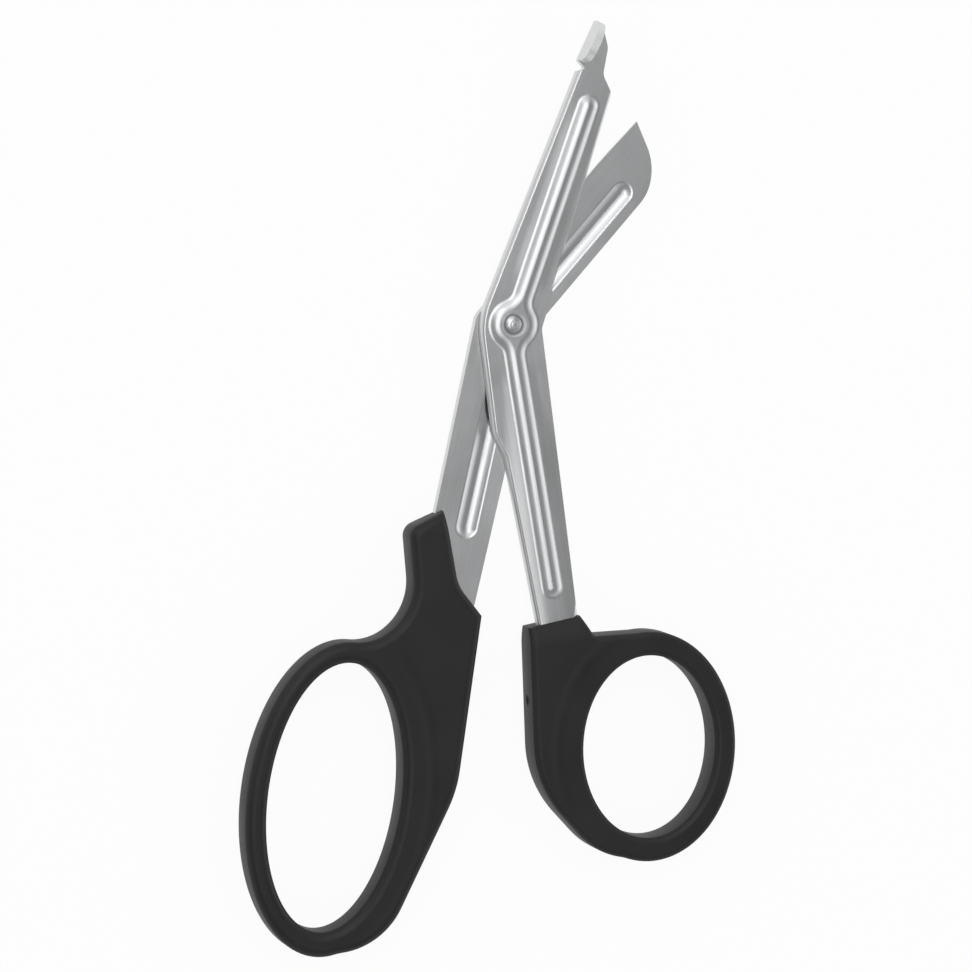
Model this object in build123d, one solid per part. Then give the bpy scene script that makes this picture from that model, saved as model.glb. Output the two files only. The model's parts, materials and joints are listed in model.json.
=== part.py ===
from build123d import *
import math
import os

# Angled bandage scissors, drawn half open as they lie on a table.
# X is to the right, Y towards the tips, Z up. Sizes are millimetres, angles degrees.
# Outlines are drawn from the pivot, on the plane where the two blades meet.

# Sheet steel of both blades
sheet_thickness = 2.0
blade_gap = 0.1
edge_bevel_depth = 1.3
edge_bevel_width = 0.7
grinding_reach = 2.5
grinding_start = 0.3
spine_round = 0.8
sharp = 0.0
small_corner = 0.4
soft_corner = 2.5

# Pressed ribs and pivot boss
rib_height = 0.5
rib_slope_angle = 24.0
rib_crest_round = 3.6
rib_base_round = 1.8
groove_rim_round = 1.2
front_groove_round = 1.6
back_groove_round = 4.0
front_boss_radius = 4.8
back_boss_radius = 4.5
back_pivot_radius = 5.2
boss_blend = 3.0

# Front blade: the tip's details are measured back from its reach
front_spine_angle = 22.4
front_spine_aside = 6.75
front_edge_angle = 17.6
front_edge_aside = 5.65
front_edge_root = 9.0
front_reach = 60.7
front_edge_short = 12.4
front_neck_short = 9.1
front_neck_aside = 1.75
front_bulge_short = 3.9
front_bulge_aside = 2.8
front_tip_short = 0.3
front_tip_aside = 5.4
front_rib_angle = 19.6
front_rib_short = 13.8
front_rib_half = 1.95

# Folded foot at the tip of the front blade
foot_length = 8.4
foot_height = 7.0
foot_thickness = 1.5
foot_toe_overhang = 0.4
foot_heel_overhang = 0.85
foot_heel_round = 3.0
foot_toe_round = 4.4
foot_bend_round = 1.0
relief_length = 2.0
relief_depth = 1.4

# Front shank, from the pivot down into the thumb bow
front_shank_angle = 7.4
front_shank_right = 5.5
front_shank_left = 6.75
front_heel_round = 14.0
front_shoulder_start = 20.8
front_shoulder_end = 25.6
front_shoulder_left = 5.0
front_mouth = 58.6
front_mouth_left = 2.6
front_shank_rib_angle = 9.5
front_shank_rib_aside = 0.7
front_shank_rib_length = 54.2
front_shank_rib_half = 1.95

# Back blade: the tip's details are measured back from its reach
back_spine_angle = 41.7
back_spine_aside = 4.2
back_edge_aside = 6.3
back_edge_root = 11.0
back_edge_angle = 44.1
back_edge_straight = 14.3
back_edge_sweep = 120.0
back_reach = 46.3
back_tip_aside = 6.95
back_belly_short = 8.8
back_belly_angle = 9.5
back_belly_length = 6.1
back_belly_round = 9.0
back_nose_round = 11.4
back_rib_short = 9.9
back_rib_half = 2.45

# Back shank, from the pivot down into the finger bow
back_shank_angle = 12.4
back_shank_left = 7.1
back_shank_right = 5.6
back_mouth = 57.0
back_mouth_right = 4.5
back_shank_rib_angle = 12.9
back_shank_rib_length = 43.0
back_shank_rib_half = 2.5

# Tangs inside the handles
front_tang_end = 77.5
front_tang_left = 2.6
front_tang_right = 1.4
front_tang_hole_at = 66.0
front_tang_hole_aside = 0.7
back_tang_start = 50.0
back_tang_neck = 62.0
back_tang_end = 84.0
back_tang_left = 2.5
back_tang_right = 3.0
back_tang_hole_at = 72.0
tang_hole_radius = 1.6
tang_corner = 1.2
tang_clearance = 0.03

# Pivot rivet
rivet_radius = 2.0
rivet_rim_radius = 2.75
rivet_rim_height = 0.15
rivet_dish_radius = 2.35
rivet_dish_depth = 0.6
rivet_pip_radius = 0.75
rivet_pip_height = 0.35
rivet_pip_round = 0.2
rivet_rim_round = 0.1
rivet_floor_radius = 1.8
rivet_flare = 0.75
rivet_head_radius = 3.4
rivet_head_height = 0.9
rivet_head_round = 0.6
press_clearance = 0.01
running_clearance = 0.05

# Moulded handles
handle_thickness = 8.5
join_round = 10.0
mouth_roll_radius = 8.0
mouth_roll_length = 4.4
mouth_roll_angle = 3.0
mouth_roll_reach = 25.0

# Thumb bow: the corners round the loop are measured from its ends
thumb_rim_round = 1.2
thumb_loop_x = 27.5
thumb_loop_y = -83.6
thumb_loop_width = 27.2
thumb_loop_length = 36.2
thumb_rim_side = 4.2
thumb_rim_end = 4.7
thumb_wall_angle = 2.1
thumb_wall_aside = 0.8
thumb_wall_end = 90.8
thumb_bend_round = 22.0
thumb_lip = 0.6
thumb_mouth_drop = 0.9
thumb_dimple_at = 74.0
thumb_dimple_radius = 1.25
thumb_dimple_depth = 0.4
thumb_notch_left = 11.4
thumb_notch_rise = 4.2
thumb_notch_round = 1.2
thumb_crown_rise = 4.6
thumb_heel_left = 3.0
thumb_heel_drop = 4.1
thumb_belly_left = 10.9
thumb_belly_drop = 2.7
thumb_belly_round = 15.0

# Finger bow: the corners round the loop are measured from its ends
finger_rim_round = 1.7
finger_loop_x = -36.3
finger_loop_y = -91.2
finger_loop_width = 26.7
finger_loop_length = 52.8
finger_loop_angle = 7.9
finger_rim_side = 4.2
finger_rim_end = 4.5
finger_rim_drop = 0.4
finger_crown_left = 5.15
finger_crown_rise = 2.15
finger_heel_right = 2.3
finger_heel_drop = 4.05
finger_wall_angle = 8.3
finger_wall_aside = 1.5
finger_wall_end = 91.5
finger_bend_round = 25.0
finger_belly_right = 12.95
finger_belly_drop = 3.5
finger_belly_round = 15.0
finger_lip_at = 51.9
finger_lip_aside = 0.3
finger_lip_round = 8.0
finger_rest_top = 38.2
finger_rest_drop = 4.8
finger_rest_reach = 12.4
finger_rest_root = 6.0
finger_rest_round = 2.8
finger_waist_right = 12.25
finger_waist_rise = 7.1
finger_waist_round = 11.5

half_gap = blade_gap / 2
outer_face = half_gap + sheet_thickness
crest = outer_face + rib_height
half_handle = handle_thickness / 2
rib_taper = 90.0 - rib_slope_angle
groove_inset = sheet_thickness * math.tan(math.radians(rib_slope_angle / 2))
tolerance = 0.001


def above(lean, distance, aside=0.0):
    """Point up from the pivot along a line leaning right, set aside to the line's right."""
    angle = math.radians(lean)
    x = distance * math.sin(angle) + aside * math.cos(angle)
    y = distance * math.cos(angle) - aside * math.sin(angle)
    return Vector(x, y)


def below(lean, distance, aside=0.0):
    """Point down from the pivot along a line leaning right, set aside to the line's right."""
    angle = math.radians(lean)
    x = distance * math.sin(angle) + aside * math.cos(angle)
    y = -distance * math.cos(angle) + aside * math.sin(angle)
    return Vector(x, y)


def crossing(first, second, third, fourth):
    """Point where the line through the first two points meets the line through the others."""
    along = second - first
    other = fourth - third
    share = (third - first).cross(other).Z / along.cross(other).Z
    return first + along * share


def rounded_face(corners):
    """Closed face from pairs of a corner point and its radius."""
    points = [point for point, radius in corners]
    radii = [radius for point, radius in corners]
    return make_face(FilletPolyline(*points, radius=radii, close=True))


def slot(start, end, half):
    """Slot with round ends about two points."""
    along = (end - start).normalized() * half
    across = Vector(along.Y, -along.X)
    sides = [
        Line(start + across, end + across),
        ThreePointArc(end + across, end + along, end - across),
        Line(end - across, start - across),
        ThreePointArc(start - across, start - along, start + across),
    ]
    return make_face(sides)


def foot_heel():
    """Lower end of the foot's fold line."""
    return above(front_spine_angle, front_reach - foot_length, -front_spine_aside - foot_heel_overhang)


def foot_toe():
    """Upper end of the foot's fold line, at the tip."""
    return above(front_spine_angle, front_reach, -front_spine_aside - foot_toe_overhang)


def front_edge():
    """Cutting edge of the front blade, from its root to its end."""
    return [
        (above(front_edge_angle, front_edge_root, front_edge_aside), sharp),
        (above(front_edge_angle, front_reach - front_edge_short, front_edge_aside), sharp),
    ]


def back_edge():
    """Cutting edge of the back blade, from its root to the tip."""
    tip = above(back_spine_angle, back_reach, -back_tip_aside)
    return [
        (above(back_spine_angle, back_edge_root, -back_edge_aside), sharp),
        (tip - above(back_edge_angle, back_edge_straight), back_edge_sweep),
        (tip, sharp),
    ]


def front_blank():
    """Flat outline of the front blade with its shank and tang."""
    (edge_root, _), (edge_end, _) = front_edge()
    inner_corner = crossing(
        edge_root,
        edge_end,
        below(front_shank_angle, 0.0, front_shank_right),
        below(front_shank_angle, front_mouth, front_shank_right),
    )
    relief_start = front_reach - foot_length - relief_length
    relief_middle = relief_start + relief_length / 2
    relief_floor = above(front_spine_angle, relief_middle, relief_depth - front_spine_aside)
    spine_end = above(front_spine_angle, relief_start, -front_spine_aside)
    outer_corner = crossing(
        above(front_spine_angle, 0.0, -front_spine_aside),
        spine_end,
        below(front_shank_angle, 0.0, -front_shank_left),
        below(front_shank_angle, front_shoulder_start, -front_shank_left),
    )
    return rounded_face([
        (foot_toe(), sharp),
        (above(front_spine_angle, front_reach - front_tip_short, -front_tip_aside), small_corner),
        (above(front_spine_angle, front_reach - front_bulge_short, -front_bulge_aside), soft_corner),
        (above(front_spine_angle, front_reach - front_neck_short, -front_neck_aside), soft_corner),
        (edge_end, sharp),
        (inner_corner, soft_corner),
        (below(front_shank_angle, front_mouth, front_shank_right), sharp),
        (below(front_shank_angle, front_tang_end, front_tang_right), tang_corner),
        (below(front_shank_angle, front_tang_end, -front_tang_left), tang_corner),
        (below(front_shank_angle, front_mouth + thumb_mouth_drop, -front_mouth_left), sharp),
        (below(front_shank_angle, front_shoulder_end, -front_shoulder_left), soft_corner),
        (below(front_shank_angle, front_shoulder_start, -front_shank_left), soft_corner),
        (outer_corner, front_heel_round),
        (spine_end, sharp),
        (relief_floor, small_corner),
        (foot_heel(), sharp),
    ])


def back_blank():
    """Flat outline of the back blade with its shank and tang."""
    lean = -back_shank_angle
    belly = above(back_spine_angle, back_reach - back_belly_short, back_spine_aside)
    left_corner = crossing(
        above(back_spine_angle, 0.0, -back_edge_aside),
        above(back_spine_angle, back_edge_root, -back_edge_aside),
        below(lean, 0.0, -back_shank_left),
        below(lean, back_tang_start, -back_shank_left),
    )
    right_corner = crossing(
        above(back_spine_angle, 0.0, back_spine_aside),
        belly,
        below(lean, 0.0, back_shank_right),
        below(lean, back_mouth, back_mouth_right),
    )
    outline = rounded_face([
        (belly + above(back_belly_angle, back_belly_length), back_nose_round),
        (belly, back_belly_round),
        (right_corner, soft_corner),
        (below(lean, back_mouth, back_mouth_right), sharp),
        (below(lean, back_tang_neck, back_tang_right), tang_corner),
        (below(lean, back_tang_end, back_tang_right), tang_corner),
        (below(lean, back_tang_end, -back_tang_left), tang_corner),
        (below(lean, back_tang_start, -back_shank_left), sharp),
        (left_corner, soft_corner),
        *back_edge(),
    ])
    return outline + Circle(back_pivot_radius)


def rib_outline(boss_radius, ribs, inset):
    """Outline of the pressed ribs with the pivot boss between them, drawn in by an inset."""
    outline = Circle(boss_radius - inset)
    for start, end, half in ribs:
        outline += slot(start, end, half - inset)
    on_boss = [v for v in outline.vertices() if abs(Vector(v).length - boss_radius + inset) < tolerance]
    return fillet(on_boss, boss_blend)


def flat_face(shape, level):
    """Largest flat face of a shape at a level."""
    flats = [face for face in shape.faces() if face.is_planar and abs(face.center().Z - level) < tolerance]
    return max(flats, key=lambda face: face.area)


def inner_loops(face):
    """Edges of the loops inside a face."""
    return [edge for wire in face.inner_wires() for edge in wire.edges()]


def nearest_edge(shape, point):
    """The edge of a shape whose middle is nearest to a point."""
    return min(shape.edges(), key=lambda edge: (edge.center() - point).length)


def ground_waste(edge, outward):
    """What grinding takes off along a cutting edge: a strip whose inner side slopes."""
    first = edge[0][0]
    last = edge[-1][0]
    strip = rounded_face([*edge, (last + outward, sharp), (first + outward, sharp)])
    slope = math.degrees(math.atan(edge_bevel_width / edge_bevel_depth))
    height = edge_bevel_depth + edge_bevel_depth * grinding_start / edge_bevel_width
    return extrude(Pos(0, 0, outer_face - height) * offset(strip, -grinding_start), height, taper=-slope)


def pressed_sheet(blank, waste, boss_radius, ribs, groove_round):
    """Sheet with a ground cutting edge and ribs pressed out of it, from the inner face up."""
    sheet = extrude(Pos(0, 0, half_gap) * blank, sheet_thickness) - waste
    sheet += extrude(Pos(0, 0, outer_face) * rib_outline(boss_radius, ribs, 0.0), rib_height, taper=rib_taper)
    groove = rib_outline(boss_radius, ribs, groove_inset)
    sheet -= extrude(Pos(0, 0, half_gap) * groove, rib_height, taper=rib_taper)
    sheet = fillet(inner_loops(flat_face(sheet, outer_face)), rib_base_round)
    sheet = fillet(flat_face(sheet, crest).outer_wire().edges(), rib_crest_round)
    sheet = fillet(flat_face(sheet, half_gap + rib_height).outer_wire().edges(), groove_round)
    return fillet(inner_loops(flat_face(sheet, half_gap)), groove_rim_round)


def folded_foot():
    """Blunt foot folded up along the spine at the tip of the front blade."""
    fold = foot_toe() - foot_heel()
    plane = Plane(
        origin=foot_heel() + Vector(0, 0, half_gap),
        x_dir=fold,
        z_dir=fold.cross(Vector(0, 0, 1)),
    )
    profile = rounded_face([
        (Vector(0, 0), sharp),
        (Vector(fold.length, 0), sharp),
        (Vector(fold.length, foot_height), foot_toe_round),
        (Vector(0, foot_height), foot_heel_round),
    ])
    return extrude(plane * profile, foot_thickness)


def round_hole(point, radius):
    """Cutter for a hole right through a sheet at a point of its outline."""
    return Pos(point.X, point.Y, 0) * Cylinder(radius, handle_thickness)


def rivet_seat():
    """Cutter for the hole and countersink of the flared rivet end."""
    flare = Cone(rivet_radius + press_clearance, rivet_rim_radius + press_clearance, rivet_flare)
    shaft = round_hole(Vector(0, 0), rivet_radius + press_clearance)
    return shaft + Pos(0, 0, crest - rivet_flare / 2) * flare


def front_tang_hole():
    """Middle of the hole in the front tang."""
    return below(front_shank_angle, front_tang_hole_at, front_tang_hole_aside)


def back_tang_hole():
    """Middle of the hole in the back tang."""
    return below(-back_shank_angle, back_tang_hole_at)


def make_front_blade():
    """Upper blade with the folded foot and a rolled spine."""
    blade_end = above(front_rib_angle, front_reach - front_rib_short - front_rib_half)
    shank_start = below(front_shank_rib_angle, 0.0, -front_shank_rib_aside)
    shank_length = front_shank_rib_length - front_shank_rib_half
    shank_end = below(front_shank_rib_angle, shank_length, -front_shank_rib_aside)
    ribs = [
        (Vector(0, 0), blade_end, front_rib_half),
        (shank_start, shank_end, front_shank_rib_half),
    ]
    waste = ground_waste(front_edge(), above(front_edge_angle, 0.0, grinding_reach))
    blade = pressed_sheet(front_blank(), waste, front_boss_radius, ribs, front_groove_round)
    spine_middle = above(front_spine_angle, front_reach / 2, -front_spine_aside)
    blade = fillet(nearest_edge(blade, spine_middle + Vector(0, 0, outer_face)), spine_round)
    fold_middle = (foot_heel() + foot_toe()) * 0.5
    blade += folded_foot()
    blade = fillet(nearest_edge(blade, fold_middle + Vector(0, 0, half_gap)), foot_bend_round)
    return blade - rivet_seat() - round_hole(front_tang_hole(), tang_hole_radius)


def make_back_blade():
    """Lower blade, pressed the other way."""
    blade_end = above(back_spine_angle, back_reach - back_rib_short - back_rib_half)
    shank_end = below(-back_shank_rib_angle, back_shank_rib_length - back_shank_rib_half)
    ribs = [
        (Vector(0, 0), blade_end, back_rib_half),
        (Vector(0, 0), shank_end, back_shank_rib_half),
    ]
    waste = ground_waste(back_edge(), above(back_edge_angle, 0.0, -grinding_reach))
    blade = pressed_sheet(back_blank(), waste, back_boss_radius, ribs, back_groove_round)
    blade -= round_hole(Vector(0, 0), rivet_radius + running_clearance)
    blade -= round_hole(back_tang_hole(), tang_hole_radius)
    return mirror(blade, about=Plane.XY)


def make_rivet():
    """Pivot rivet: a low head below, a flared and dished end above."""
    seat = -crest - running_clearance
    rim_top = crest + rivet_rim_height
    dish_floor = rim_top - rivet_dish_depth
    profile = rounded_face([
        (Vector(0, seat - rivet_head_height), sharp),
        (Vector(rivet_head_radius, seat - rivet_head_height), rivet_head_round),
        (Vector(rivet_head_radius, seat), sharp),
        (Vector(rivet_radius, seat), sharp),
        (Vector(rivet_radius, crest - rivet_flare), sharp),
        (Vector(rivet_rim_radius, crest), sharp),
        (Vector(rivet_rim_radius, rim_top), rivet_rim_round),
        (Vector(rivet_dish_radius, rim_top), rivet_rim_round),
        (Vector(rivet_floor_radius, dish_floor), sharp),
        (Vector(rivet_pip_radius, dish_floor), sharp),
        (Vector(rivet_pip_radius, dish_floor + rivet_pip_height), rivet_pip_round),
        (Vector(0, dish_floor + rivet_pip_height), sharp),
    ])
    return revolve(Plane.XZ * profile, axis=Axis.Z)


def tang_pocket(blank, hole, floor):
    """Room for a tang in a handle, with a plug left standing in the tang's hole."""
    room = Pos(0, 0, floor - tang_clearance) * offset(blank, tang_clearance)
    pocket = extrude(room, sheet_thickness + 2 * tang_clearance)
    return pocket - round_hole(hole, tang_hole_radius - tang_clearance)


def mouth_rolls(lean, distance):
    """Cutters that roll a handle off towards its mouth, above and below."""
    plane = Plane(
        origin=below(lean, distance),
        x_dir=below(lean, 1.0),
        z_dir=below(lean, 0.0, -1.0),
    )
    angle = math.radians(mouth_roll_angle)
    roll_x = mouth_roll_length + mouth_roll_radius * math.sin(angle)
    roll_y = half_handle - mouth_roll_radius * math.cos(angle)
    waste = Pos(0, half_handle) * Rectangle(2 * mouth_roll_length, handle_thickness)
    waste -= Pos(roll_x, roll_y) * Circle(mouth_roll_radius)
    upper = extrude(plane * waste, mouth_roll_reach, both=True)
    return upper + mirror(upper, about=Plane.XY)


def wall_rims(shape):
    """Edges along the tops and bottoms of the upright walls of a shape."""
    walls = [face for face in shape.faces() if abs(face.normal_at().Z) < tolerance]
    edges = [edge for wall in walls for edge in wall.edges()]
    return [edge for edge in edges if abs(edge.tangent_at(0.5).Z) < 1.0 - tolerance]


def new_corners(outline, drawn):
    """Corners of an outline that are not among the corners drawn for its parts."""
    corners = [Vector(vertex) for vertex in outline.vertices()]
    known = [Vector(vertex) for vertex in drawn]
    return [corner for corner in corners if min((corner - point).length for point in known) > tolerance]


def upright_edges(shape, points):
    """Upright edges of a shape that stand on points of its outline."""
    upright = [edge for edge in shape.edges() if abs(edge.tangent_at(0.5).Z) > 1.0 - tolerance]
    feet = [Vector(edge.center().X, edge.center().Y) for edge in upright]
    return [edge for edge, foot in zip(upright, feet) if min((foot - p).length for p in points) < tolerance]


def moulded_bow(body, rim, loop, rolls, rim_round):
    """Handle of one thickness: a body blended into a rim round a loop, all its edges rounded."""
    outline = body + rim
    bow = extrude(outline - loop, half_handle, both=True)
    joins = new_corners(outline, body.vertices() + rim.vertices())
    bow = fillet(upright_edges(bow, joins), join_round) - rolls
    return fillet(wall_rims(bow), rim_round)


def thumb_dimple():
    """Cutter for the shallow round dimple in the outer wall of the thumb bow."""
    ball = (thumb_dimple_radius ** 2 + thumb_dimple_depth ** 2) / (2 * thumb_dimple_depth)
    centre = below(thumb_wall_angle, thumb_dimple_at, thumb_wall_aside + thumb_dimple_depth - ball)
    return Pos(centre.X, centre.Y, 0) * Rot(0, 90, 0) * Sphere(ball)


def make_thumb_bow():
    """Small bow on the front shank."""
    middle = Vector(thumb_loop_x, thumb_loop_y)
    half_width = thumb_loop_width / 2
    half_length = thumb_loop_length / 2
    loop = Pos(middle.X, middle.Y) * Ellipse(half_width, half_length)
    rim = Pos(middle.X, middle.Y) * Ellipse(half_width + thumb_rim_side, half_length + thumb_rim_end)
    body = rounded_face([
        (below(thumb_wall_angle, front_mouth + thumb_mouth_drop, thumb_wall_aside), sharp),
        (below(front_shank_angle, front_mouth, front_shank_right + thumb_lip), sharp),
        (middle + above(0.0, half_length + thumb_notch_rise, -thumb_notch_left), thumb_notch_round),
        (middle + above(0.0, half_length + thumb_crown_rise), sharp),
        (middle, sharp),
        (middle + below(0.0, half_length + thumb_heel_drop, -thumb_heel_left), sharp),
        (middle + below(0.0, half_length + thumb_belly_drop, -thumb_belly_left), thumb_belly_round),
        (below(thumb_wall_angle, thumb_wall_end, thumb_wall_aside), thumb_bend_round),
    ])
    bow = moulded_bow(body, rim, loop, mouth_rolls(front_shank_angle, front_mouth), thumb_rim_round)
    return bow - thumb_dimple() - tang_pocket(front_blank(), front_tang_hole(), half_gap)


def make_finger_bow():
    """Long bow on the back shank, with a rest for the first finger."""
    lean = -back_shank_angle
    middle = Vector(finger_loop_x, finger_loop_y)
    half_width = finger_loop_width / 2
    half_length = finger_loop_length / 2
    turn = Rot(0, 0, -finger_loop_angle)
    loop = Pos(middle.X, middle.Y) * turn * Ellipse(half_width, half_length)
    rim = Ellipse(half_width + finger_rim_side, half_length + finger_rim_end)
    rim = Pos(middle.X, middle.Y - finger_rim_drop) * turn * rim
    waist = middle + above(finger_loop_angle, half_length + finger_waist_rise, finger_waist_right)
    crown = middle + above(finger_loop_angle, half_length + finger_crown_rise, -finger_crown_left)
    heel = middle + below(-finger_loop_angle, half_length + finger_heel_drop, finger_heel_right)
    belly = middle + below(-finger_loop_angle, half_length + finger_belly_drop, finger_belly_right)
    body = rounded_face([
        (below(lean, finger_rest_top, -finger_rest_root), sharp),
        (below(lean, finger_rest_top + finger_rest_drop, -finger_rest_reach), finger_rest_round),
        (waist, finger_waist_round),
        (crown, sharp),
        (middle, sharp),
        (heel, sharp),
        (belly, finger_belly_round),
        (below(-finger_wall_angle, finger_wall_end, finger_wall_aside), finger_bend_round),
        (below(-finger_wall_angle, back_mouth, finger_wall_aside), sharp),
        (below(lean, finger_lip_at, -finger_lip_aside), finger_lip_round),
    ])
    bow = moulded_bow(body, rim, loop, mouth_rolls(lean, finger_rest_top), finger_rim_round)
    return bow - tang_pocket(back_blank(), back_tang_hole(), -outer_face)


# The scissors lie on the undersides of the handles, with the origin below the middle of their box
pieces = {
    "front_blade": make_front_blade(),
    "back_blade": make_back_blade(),
    "pivot_rivet": make_rivet(),
    "thumb_bow": make_thumb_bow(),
    "finger_bow": make_finger_bow(),
}
box = Compound(list(pieces.values())).bounding_box()
place = Pos(-box.center().X, -box.center().Y, half_handle)
os.makedirs("parts", exist_ok=True)
for name, piece in pieces.items():
    export_step(place * piece, f"parts/{name}.step")
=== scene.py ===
import json
import math

import bpy
from mathutils import Matrix, Vector


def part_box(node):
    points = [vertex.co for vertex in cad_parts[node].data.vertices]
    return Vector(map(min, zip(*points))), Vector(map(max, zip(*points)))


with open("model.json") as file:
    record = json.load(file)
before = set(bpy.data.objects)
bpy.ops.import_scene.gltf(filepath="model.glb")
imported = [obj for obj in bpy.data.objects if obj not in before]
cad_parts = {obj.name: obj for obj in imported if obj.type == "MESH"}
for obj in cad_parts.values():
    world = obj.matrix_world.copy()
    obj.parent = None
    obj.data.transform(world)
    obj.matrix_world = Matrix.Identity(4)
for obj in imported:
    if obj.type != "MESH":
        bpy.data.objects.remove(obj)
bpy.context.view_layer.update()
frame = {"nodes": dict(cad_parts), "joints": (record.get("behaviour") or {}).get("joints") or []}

# Lengths are metres unless a comment says millimetres, angles are degrees
millimetre = 0.001

# Where the scissors turn
pivot = Vector(frame["joints"][0]["pos_m"])

# Each rib's lean, how far aside of the pivot it runs, and how far from the pivot the sheet beside it is
# drawn in, in millimetres
front_blade_rib = {"lean": 19.6, "aside": 0.0, "drawn_to": 47.0}
front_shank_rib = {"lean": -9.5, "aside": -0.7, "drawn_to": 66.0}
back_blade_rib = {"lean": 41.7, "aside": 0.0, "drawn_to": 36.4}
back_shank_rib = {"lean": 12.9, "aside": 0.0, "drawn_to": 43.0}

# The sheet that the press draws in beside a rib: its slope at the rib, and its places in millimetres from
# the rib's middle and from the pivot
front_draw_slope = math.tan(math.radians(6.0))
back_draw_slope = -math.tan(math.radians(1.2))
rib_foot = 2.3
rib_foot_round = 2.0
draw_width_by_boss = 1.6
draw_width_by_handle = 12.0
draw_widest_at = 52.0
draw_fade = 9.0
boss_edge = 7.0
boss_clear = 12.0

# The handles' loops in millimetres: middle, half lengths across and along, and lean
thumb_loop = {"middle": (31.95, -51.87), "half": (13.6, 18.1), "lean": 0.0}
finger_loop = {"middle": (-31.85, -59.47), "half": (13.36, 26.42), "lean": 7.9}
handle_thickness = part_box("finger_bow")[1].z

# The photograph's camera: to the left of the scissors and a little above their middle
view_from_left = 16.0
view_from_above = 5.0
camera_distance = 1.0
camera_target = Vector((-0.6, 0.2, 4.2)) * millimetre
view_width = 189.5 * millimetre
sensor_width = 36.0


def linear(hex_colour):
    """sRGB hex colour as linear red, green, blue and alpha."""
    channels = [int(hex_colour[place:place + 2], 16) / 255 for place in (1, 3, 5)]
    return [c / 12.92 if c <= 0.04045 else ((c + 0.055) / 1.055) ** 2.4 for c in channels] + [1.0]


def add_node(tree, kind, inputs=None, **settings):
    """Adds a node with its settings. An input is a value or another node's output."""
    node = tree.nodes.new(kind)
    for name, value in settings.items():
        setattr(node, name, value)
    for socket, value in (inputs or {}).items():
        if isinstance(value, bpy.types.NodeSocket):
            tree.links.new(value, node.inputs[socket])
        else:
            node.inputs[socket].default_value = value
    return node


def new_material(name):
    """Empty material with its node tree."""
    material = bpy.data.materials.new(name)
    material.use_nodes = True
    material.node_tree.nodes.clear()
    return material, material.node_tree


def rib_frame(tree, place, rib):
    """Millimetres across and along a rib."""
    lean = math.radians(rib["lean"])
    across = Vector((math.cos(lean), -math.sin(lean), 0.0))
    return add_node(tree, "ShaderNodeMapping", {
        "Vector": place,
        "Location": pivot + across * rib["aside"] * millimetre,
        "Rotation": (0.0, 0.0, -lean),
        "Scale": (millimetre, millimetre, millimetre),
    }, vector_type="TEXTURE").outputs["Vector"]


def belt_grain(tree, rib_place):
    """Grain of the belt along a rib. Real grain is too fine to show, so it is drawn a few times coarser."""
    grain_width = 0.45
    grain_length = 14.0
    stretched = add_node(tree, "ShaderNodeVectorMath", {
        0: rib_place,
        1: (1.0 / grain_width, 1.0 / grain_length, 1.0 / grain_width),
    }, operation="MULTIPLY").outputs["Vector"]
    return add_node(tree, "ShaderNodeTexNoise", {
        "Vector": stretched, "Scale": 1.0, "Detail": 1.0, "Roughness": 0.5,
    }).outputs["Fac"]


def drawn_sheet(tree, rib_place, rib):
    """How far the sheet beside a rib falls away from it, in millimetres for a slope of 1 at the rib. The fall
    levels out over a width that grows towards the handle, and it fades at the boss and past the rib."""
    axes = add_node(tree, "ShaderNodeSeparateXYZ", {0: rib_place}).outputs
    across = add_node(tree, "ShaderNodeMath", {0: axes["X"]}, operation="ABSOLUTE").outputs[0]
    along = add_node(tree, "ShaderNodeMath", {0: axes["Y"]}, operation="ABSOLUTE").outputs[0]
    beyond = add_node(tree, "ShaderNodeMath", {0: across, 1: rib_foot}, operation="SUBTRACT").outputs[0]
    beyond = add_node(tree, "ShaderNodeMath", {
        0: beyond, 1: 0.0, 2: rib_foot_round,
    }, operation="SMOOTH_MAX").outputs[0]
    width = add_node(tree, "ShaderNodeMapRange", {
        "Value": axes["Y"],
        "From Min": -boss_clear,
        "From Max": -draw_widest_at,
        "To Min": draw_width_by_boss,
        "To Max": draw_width_by_handle,
    }, interpolation_type="SMOOTHSTEP").outputs["Result"]
    share = add_node(tree, "ShaderNodeMath", {
        0: beyond, 1: width,
    }, operation="DIVIDE", use_clamp=True).outputs[0]
    levelling = add_node(tree, "ShaderNodeMath", {
        0: share, 1: -0.5, 2: 1.0,
    }, operation="MULTIPLY_ADD").outputs[0]
    curve = add_node(tree, "ShaderNodeMath", {0: share, 1: levelling}, operation="MULTIPLY").outputs[0]
    fall = add_node(tree, "ShaderNodeMath", {0: curve, 1: width}, operation="MULTIPLY").outputs[0]
    off_boss = add_node(tree, "ShaderNodeMapRange", {
        "Value": along, "From Min": boss_edge, "From Max": boss_clear, "To Min": 0.0, "To Max": 1.0,
    }, interpolation_type="SMOOTHSTEP").outputs["Result"]
    on_rib = add_node(tree, "ShaderNodeMapRange", {
        "Value": along,
        "From Min": rib["drawn_to"] - draw_fade,
        "From Max": rib["drawn_to"],
        "To Min": 1.0,
        "To Max": 0.0,
    }, interpolation_type="SMOOTHSTEP").outputs["Result"]
    fall = add_node(tree, "ShaderNodeMath", {0: fall, 1: off_boss}, operation="MULTIPLY").outputs[0]
    return add_node(tree, "ShaderNodeMath", {0: fall, 1: on_rib}, operation="MULTIPLY").outputs[0]


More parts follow.
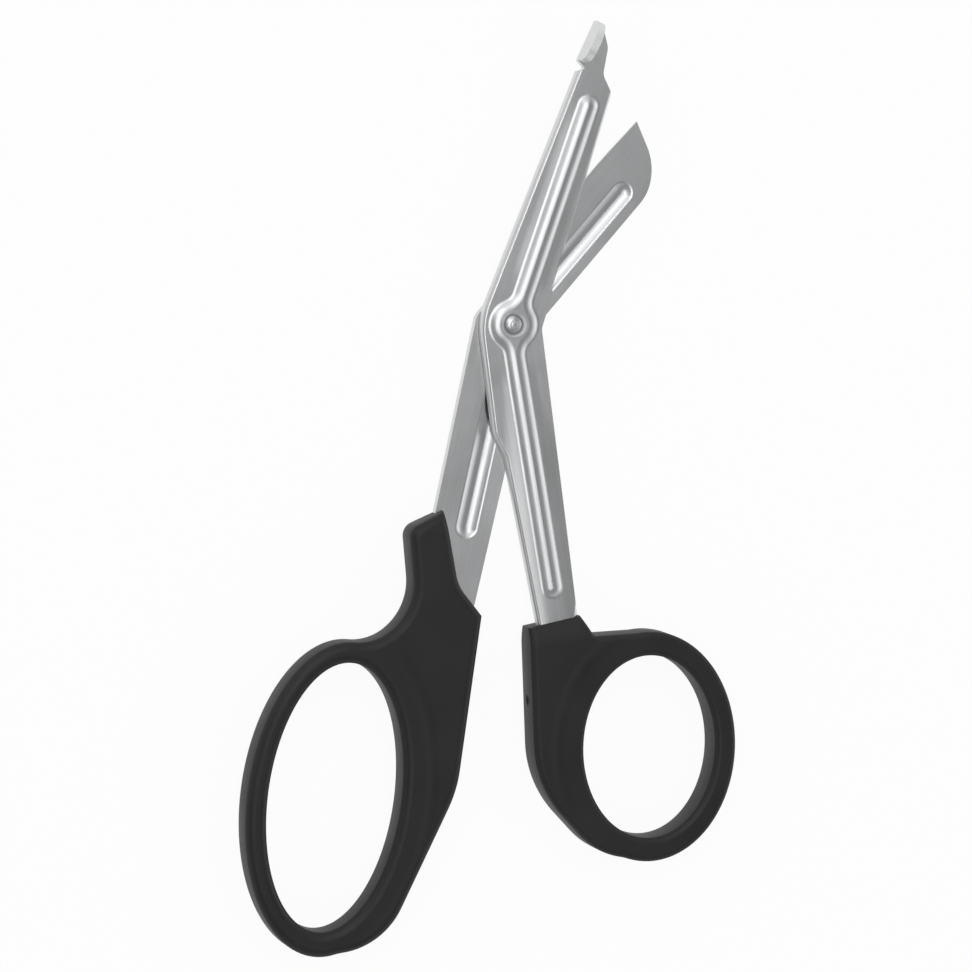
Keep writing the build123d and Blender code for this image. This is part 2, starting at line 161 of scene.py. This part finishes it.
def satin_stainless_steel(name, blade_rib, shank_rib, draw_slope):
    """Stamped and pressed stainless sheet, belt-finished along blade and shank: a soft grey sheen with a
    faint grain, the sheet drawn in beside its ribs, and shear-cut edges and a folded foot that are rougher
    than the faces, with a painted highlight that makes them paler."""
    material, tree = new_material(name)
    turn_half = 3.0 * millimetre
    cloud_size = 9.0 * millimetre
    foot_start = 7.0 * millimetre
    foot_full = 7.4 * millimetre
    edge_upward = 0.3
    face_upward = 0.7
    clear_roughness = 0.28
    cloudy_roughness = 0.32
    edge_roughness_more = 0.2
    place = add_node(tree, "ShaderNodeTexCoord").outputs["Object"]
    axes = add_node(tree, "ShaderNodeSeparateXYZ", {0: place}).outputs
    on_blade = add_node(tree, "ShaderNodeMapRange", {
        "Value": axes["Y"], "From Min": pivot.y - turn_half, "From Max": pivot.y + turn_half,
    }).outputs["Result"]
    shank_place = rib_frame(tree, place, shank_rib)
    blade_place = rib_frame(tree, place, blade_rib)
    grain = add_node(tree, "ShaderNodeMix", {
        "Factor": on_blade,
        "A": belt_grain(tree, shank_place),
        "B": belt_grain(tree, blade_place),
    }).outputs["Result"]
    fall = add_node(tree, "ShaderNodeMix", {
        "Factor": on_blade,
        "A": drawn_sheet(tree, shank_place, shank_rib),
        "B": drawn_sheet(tree, blade_place, blade_rib),
    }).outputs["Result"]
    cloud = add_node(tree, "ShaderNodeTexNoise", {
        "Vector": place, "Scale": 1.0 / cloud_size, "Detail": 3.0,
    }).outputs["Fac"]
    upward = add_node(tree, "ShaderNodeSeparateXYZ", {
        0: add_node(tree, "ShaderNodeNewGeometry").outputs["Normal"],
    }).outputs["Z"]
    # The pressing stands out on one face and in on the other
    face = add_node(tree, "ShaderNodeMath", {0: upward}, operation="SIGN").outputs[0]
    bow = add_node(tree, "ShaderNodeMath", {0: fall, 1: face}, operation="MULTIPLY").outputs[0]
    bow = add_node(tree, "ShaderNodeMath", {0: bow, 1: -draw_slope}, operation="MULTIPLY").outputs[0]
    bump = add_node(tree, "ShaderNodeBump", {
        "Height": bow, "Strength": 1.0, "Distance": millimetre,
    }).outputs["Normal"]
    level = add_node(tree, "ShaderNodeMath", {0: upward}, operation="ABSOLUTE").outputs[0]
    steep = add_node(tree, "ShaderNodeMapRange", {
        "Value": level, "From Min": edge_upward, "From Max": face_upward, "To Min": 1.0, "To Max": 0.0,
    }).outputs["Result"]
    raised = add_node(tree, "ShaderNodeMapRange", {
        "Value": axes["Z"], "From Min": foot_start, "From Max": foot_full, "To Min": 0.0, "To Max": 1.0,
    }).outputs["Result"]
    # Steep edges and the raised foot: rougher, and lighter in tone as a painted highlight
    rough_edges_and_painted_highlight = add_node(tree, "ShaderNodeMath", {0: steep, 1: raised}, operation="MAXIMUM").outputs[0]
    # Grain takes the lower half of the ramp; the steep edges and the folded foot take the upper half, a
    # painted highlight
    shade = add_node(tree, "ShaderNodeMath", {0: grain, 1: 0.5}, operation="MULTIPLY").outputs[0]
    shade = add_node(tree, "ShaderNodeMath", {
        0: rough_edges_and_painted_highlight, 1: 0.5, 2: shade,
    }, operation="MULTIPLY_ADD").outputs[0]
    tone = add_node(tree, "ShaderNodeValToRGB", {"Fac": shade})
    tone.color_ramp.elements[0].position = 0.15
    tone.color_ramp.elements[0].color = linear("#c0c1c2")
    # The palest grey is the painted highlight on the edges and the foot
    tone.color_ramp.elements[1].position = 0.75
    tone.color_ramp.elements[1].color = linear("#dfe0e0")
    tone.color_ramp.elements.new(0.35).color = linear("#c6c7c8")
    clouded = add_node(tree, "ShaderNodeMapRange", {
        "Value": cloud,
        "From Min": 0.3,
        "From Max": 0.7,
        "To Min": clear_roughness,
        "To Max": cloudy_roughness,
    }).outputs["Result"]
    roughness = add_node(tree, "ShaderNodeMath", {
        0: rough_edges_and_painted_highlight, 1: edge_roughness_more, 2: clouded,
    }, operation="MULTIPLY_ADD").outputs[0]
    shader = add_node(tree, "ShaderNodeBsdfPrincipled", {
        "Base Color": tone.outputs["Color"],
        "Metallic": 1.0,
        "Roughness": roughness,
        "Normal": bump,
    })
    add_node(tree, "ShaderNodeOutputMaterial", {"Surface": shader.outputs["BSDF"]})
    return material


def headed_stainless_steel():
    """Stainless rivet wire, upset by a punch that leaves the floor of the dish crowned: brighter than the
    blades, with faint rings about its axis and a dark line of painted shade in the corner of the dish. The
    radii and the rings' spacing are in millimetres."""
    material, tree = new_material("headed_stainless_steel")
    ring_spacing = 1.38
    floor_radius = 1.8
    floor_crown_radius = 4.5
    painted_shade_near = 0.1
    painted_shade_far = 0.35
    painted_shade_darkness = 0.35
    ring_share = 0.2
    # A wave texture turns 20 radians in one unit
    wave_radians = 20.0
    place = add_node(tree, "ShaderNodeTexCoord").outputs["Object"]
    centred = add_node(tree, "ShaderNodeMapping", {
        "Vector": place, "Location": pivot, "Scale": (millimetre, millimetre, millimetre),
    }, vector_type="TEXTURE").outputs["Vector"]
    flat = add_node(tree, "ShaderNodeVectorMath", {
        0: centred, 1: (1.0, 1.0, 0.0),
    }, operation="MULTIPLY").outputs["Vector"]
    radius = add_node(tree, "ShaderNodeVectorMath", {0: flat}, operation="LENGTH").outputs["Value"]
    rings = add_node(tree, "ShaderNodeTexWave", {
        "Vector": centred,
        "Scale": math.tau / wave_radians / ring_spacing,
        "Distortion": 1.5,
        "Detail": 2.0,
    }, wave_type="RINGS", rings_direction="Z").outputs["Fac"]
    inside = add_node(tree, "ShaderNodeMath", {0: radius, 1: floor_radius}, operation="MINIMUM").outputs[0]
    square = add_node(tree, "ShaderNodeMath", {0: inside, 1: 2.0}, operation="POWER").outputs[0]
    crown = add_node(tree, "ShaderNodeMath", {
        0: square, 1: -0.5 / floor_crown_radius,
    }, operation="MULTIPLY").outputs[0]
    bump = add_node(tree, "ShaderNodeBump", {
        "Height": crown, "Strength": 1.0, "Distance": millimetre,
    }).outputs["Normal"]
    from_corner = add_node(tree, "ShaderNodeMath", {
        0: radius, 1: floor_radius,
    }, operation="SUBTRACT").outputs[0]
    off_corner = add_node(tree, "ShaderNodeMath", {0: from_corner}, operation="ABSOLUTE").outputs[0]
    # Painted shade: a dark line round the corner of the dish, where shade falls in the recess
    painted_corner_shade = add_node(tree, "ShaderNodeMapRange", {
        "Value": off_corner, "From Min": painted_shade_near, "From Max": painted_shade_far, "To Min": painted_shade_darkness, "To Max": 0.0,
    }).outputs["Result"]
    ringed = add_node(tree, "ShaderNodeMath", {
        0: rings, 1: ring_share, 2: 1.0 - ring_share,
    }, operation="MULTIPLY_ADD").outputs[0]
    shade = add_node(tree, "ShaderNodeMath", {0: ringed, 1: painted_corner_shade}, operation="SUBTRACT").outputs[0]
    tone = add_node(tree, "ShaderNodeValToRGB", {"Fac": shade})
    # The ramp's dark grey is reached only through the painted shade in the corner of the dish
    tone.color_ramp.elements[0].color = linear("#3c3c3c")
    tone.color_ramp.elements[1].color = linear("#cccdce")
    tone.color_ramp.elements.new(1.0 - ring_share).color = linear("#c2c3c4")
    roughness = add_node(tree, "ShaderNodeMapRange", {
        "Value": rings, "To Min": 0.28, "To Max": 0.33,
    }).outputs["Result"]
    shader = add_node(tree, "ShaderNodeBsdfPrincipled", {
        "Base Color": tone.outputs["Color"],
        "Metallic": 1.0,
        "Roughness": roughness,
        "Normal": bump,
    })
    add_node(tree, "ShaderNodeOutputMaterial", {"Surface": shader.outputs["BSDF"]})
    return material


def moulded_black_plastic(name, loop):
    """Black ABS, injection moulded in a spark-eroded mould: a dark satin skin with a fine even texture,
    smoother where hands rub it, walls that round off upwards, a faint line where the mould's halves met
    and a soft crease where the ring of the loop runs into the web. Depths, heights and the crease are in
    millimetres."""
    material, tree = new_material(name)
    skin_size = 0.35 * millimetre
    skin_depth = 0.004
    smear_size = 12.0 * millimetre
    wall_crown = 1.3
    seam_half = 0.12 * millimetre
    seam_height = 0.02
    crease_gap = 5.6
    crease_half = 1.6
    crease_height = 0.05
    rubbed_roughness = 0.4
    skin_roughness = 0.5
    place = add_node(tree, "ShaderNodeTexCoord").outputs["Object"]
    height = add_node(tree, "ShaderNodeSeparateXYZ", {0: place}).outputs["Z"]
    skin = add_node(tree, "ShaderNodeTexNoise", {
        "Vector": place, "Scale": 1.0 / skin_size, "Detail": 2.0, "Roughness": 0.5,
    }).outputs["Fac"]
    smear = add_node(tree, "ShaderNodeTexNoise", {
        "Vector": place, "Scale": 1.0 / smear_size, "Detail": 3.0,
    }).outputs["Fac"]
    lift = add_node(tree, "ShaderNodeMath", {0: height, 1: handle_thickness}, operation="DIVIDE").outputs[0]
    square = add_node(tree, "ShaderNodeMath", {0: lift, 1: 2.0}, operation="POWER").outputs[0]
    crown = add_node(tree, "ShaderNodeMath", {0: square, 1: -wall_crown}, operation="MULTIPLY").outputs[0]
    from_seam = add_node(tree, "ShaderNodeMath", {
        0: height, 1: handle_thickness / 2,
    }, operation="SUBTRACT").outputs[0]
    off_seam = add_node(tree, "ShaderNodeMath", {0: from_seam}, operation="ABSOLUTE").outputs[0]
    seam = add_node(tree, "ShaderNodeMapRange", {
        "Value": off_seam, "From Min": 0.0, "From Max": seam_half, "To Min": seam_height, "To Max": 0.0,
    }).outputs["Result"]
    half_across, half_along = [half + crease_gap for half in loop["half"]]
    round_loop = add_node(tree, "ShaderNodeMapping", {
        "Vector": place,
        "Location": Vector((*loop["middle"], 0.0)) * millimetre,
        "Rotation": (0.0, 0.0, -math.radians(loop["lean"])),
        "Scale": Vector((half_across, half_along, half_across)) * millimetre,
    }, vector_type="TEXTURE").outputs["Vector"]
    flat = add_node(tree, "ShaderNodeVectorMath", {
        0: round_loop, 1: (1.0, 1.0, 0.0),
    }, operation="MULTIPLY").outputs["Vector"]
    ring = add_node(tree, "ShaderNodeVectorMath", {0: flat}, operation="LENGTH").outputs["Value"]
    from_ring = add_node(tree, "ShaderNodeMath", {0: ring, 1: 1.0}, operation="SUBTRACT").outputs[0]
    off_ring = add_node(tree, "ShaderNodeMath", {0: from_ring}, operation="ABSOLUTE").outputs[0]
    crease = add_node(tree, "ShaderNodeMapRange", {
        "Value": off_ring,
        "From Min": 0.0,
        "From Max": crease_half / half_across,
        "To Min": crease_height,
        "To Max": 0.0,
    }, interpolation_type="SMOOTHSTEP").outputs["Result"]
    relief = add_node(tree, "ShaderNodeMath", {
        0: skin, 1: skin_depth, 2: crown,
    }, operation="MULTIPLY_ADD").outputs[0]
    relief = add_node(tree, "ShaderNodeMath", {0: relief, 1: seam}, operation="ADD").outputs[0]
    relief = add_node(tree, "ShaderNodeMath", {0: relief, 1: crease}, operation="ADD").outputs[0]
    bump = add_node(tree, "ShaderNodeBump", {
        "Height": relief, "Strength": 1.0, "Distance": millimetre,
    }).outputs["Normal"]
    tone = add_node(tree, "ShaderNodeValToRGB", {"Fac": smear})
    tone.color_ramp.elements[0].position = 0.35
    tone.color_ramp.elements[0].color = linear("#111111")
    tone.color_ramp.elements[1].position = 0.7
    tone.color_ramp.elements[1].color = linear("#161616")
    roughness = add_node(tree, "ShaderNodeMapRange", {
        "Value": smear,
        "From Min": 0.3,
        "From Max": 0.7,
        "To Min": rubbed_roughness,
        "To Max": skin_roughness,
    }).outputs["Result"]
    shader = add_node(tree, "ShaderNodeBsdfPrincipled", {
        "Base Color": tone.outputs["Color"],
        "Roughness": roughness,
        "IOR": 1.53,
        "Specular IOR Level": 0.36,
        "Normal": bump,
    })
    add_node(tree, "ShaderNodeOutputMaterial", {"Surface": shader.outputs["BSDF"]})
    return material


def dress(node_name, material):
    """Gives a CAD node its finish."""
    mesh = frame["nodes"][node_name].data
    mesh.materials.clear()
    mesh.materials.append(material)


def white_paper():
    """Plain white paper: even white to the eye and in reflections, with a faint share that takes shadows."""
    material, tree = new_material("white_paper")
    white_share = 0.94
    rays = add_node(tree, "ShaderNodeLightPath").outputs
    seen = add_node(tree, "ShaderNodeMath", {
        0: rays["Is Camera Ray"], 1: rays["Is Glossy Ray"],
    }, operation="MAXIMUM").outputs[0]
    seen = add_node(tree, "ShaderNodeMath", {
        0: seen, 1: rays["Is Transmission Ray"],
    }, operation="MAXIMUM").outputs[0]
    share = add_node(tree, "ShaderNodeMath", {0: seen, 1: white_share}, operation="MULTIPLY").outputs[0]
    paper = add_node(tree, "ShaderNodeBsdfDiffuse", {"Color": linear("#f4f4f4")}).outputs["BSDF"]
    white = add_node(tree, "ShaderNodeEmission", {"Strength": 1.0}).outputs["Emission"]
    mix = add_node(tree, "ShaderNodeMixShader", {0: share, 1: paper, 2: white})
    add_node(tree, "ShaderNodeOutputMaterial", {"Surface": mix.outputs["Shader"]})
    return material


def paper_floor():
    """Sheet of paper that the scissors lie on."""
    half = 3.0
    mesh = bpy.data.meshes.new("paper_floor")
    corners = [(-half, -half, 0.0), (half, -half, 0.0), (half, half, 0.0), (-half, half, 0.0)]
    mesh.from_pydata(corners, [], [(0, 1, 2, 3)])
    mesh.materials.append(white_paper())
    floor = bpy.data.objects.new("paper_floor", mesh)
    bpy.context.scene.collection.objects.link(floor)


def light_tent():
    """Light tent round the table: white low down and grey overhead, by the height of the direction."""
    white_below = 0.5
    grey_above = 0.82
    world = bpy.data.worlds.new("light_tent")
    world.use_nodes = True
    tree = world.node_tree
    tree.nodes.clear()
    way = add_node(tree, "ShaderNodeTexCoord").outputs["Generated"]
    height = add_node(tree, "ShaderNodeSeparateXYZ", {0: way}).outputs["Z"]
    tent = add_node(tree, "ShaderNodeValToRGB", {"Fac": height})
    tent.color_ramp.elements[0].position = white_below
    tent.color_ramp.elements[0].color = linear("#f6f6f6")
    tent.color_ramp.elements[1].position = grey_above
    tent.color_ramp.elements[1].color = linear("#929292")
    cloth = add_node(tree, "ShaderNodeBackground", {"Color": tent.outputs["Color"], "Strength": 1.0})
    add_node(tree, "ShaderNodeOutputWorld", {"Surface": cloth.outputs["Background"]})
    bpy.context.scene.world = world


def softbox(name, left, tipward, distance, width, length, brightness):
    """Studio light over the scissors, leaned to the left and towards the tips. A brightness of 1 is white."""
    lamp = bpy.data.lights.new(name, "AREA")
    lamp.shape = "RECTANGLE"
    lamp.size = width
    lamp.size_y = length
    lamp.energy = brightness * math.pi * width * length
    box = bpy.data.objects.new(name, lamp)
    way = Vector((-math.tan(math.radians(left)), math.tan(math.radians(tipward)), 1.0)).normalized()
    across = Vector((0.0, 1.0, 0.0)).cross(way).normalized()
    turn = Matrix((across, way.cross(across), way)).transposed().to_4x4()
    box.matrix_world = Matrix.Translation(camera_target + way * distance) @ turn
    bpy.context.scene.collection.objects.link(box)


def photograph_camera():
    """Camera at the photograph's viewing angle, with the tips up in the picture."""
    left = math.radians(view_from_left)
    above = math.radians(view_from_above)
    back = Vector((
        -math.sin(left) * math.cos(above),
        math.sin(above),
        math.cos(left) * math.cos(above),
    ))
    right = Vector((0.0, 1.0, 0.0)).cross(back).normalized()
    up = back.cross(right)
    data = bpy.data.cameras.new("photograph_camera")
    data.sensor_width = sensor_width
    data.lens = sensor_width * camera_distance / view_width
    camera = bpy.data.objects.new("photograph_camera", data)
    turn = Matrix((right, up, back)).transposed().to_4x4()
    camera.matrix_world = Matrix.Translation(camera_target + back * camera_distance) @ turn
    bpy.context.scene.collection.objects.link(camera)
    bpy.context.scene.camera = camera


front_steel = satin_stainless_steel(
    "satin_stainless_steel_front", front_blade_rib, front_shank_rib, front_draw_slope)
back_steel = satin_stainless_steel(
    "satin_stainless_steel_back", back_blade_rib, back_shank_rib, back_draw_slope)
dress("front_blade", front_steel)
dress("back_blade", back_steel)
dress("pivot_rivet", headed_stainless_steel())
dress("thumb_bow", moulded_black_plastic("moulded_black_plastic_thumb", thumb_loop))
dress("finger_bow", moulded_black_plastic("moulded_black_plastic_finger", finger_loop))

paper_floor()
light_tent()
softbox("overhead_light", left=2.5, tipward=4.0, distance=2.0, width=0.67, length=1.2, brightness=2.4)
softbox("tip_light", left=15.0, tipward=32.0, distance=1.6, width=1.8, length=0.9, brightness=0.9)
softbox("right_light", left=-60.0, tipward=0.0, distance=1.5, width=0.5, length=1.0, brightness=1.0)
photograph_camera()
bpy.context.scene.view_settings.view_transform = "Standard"
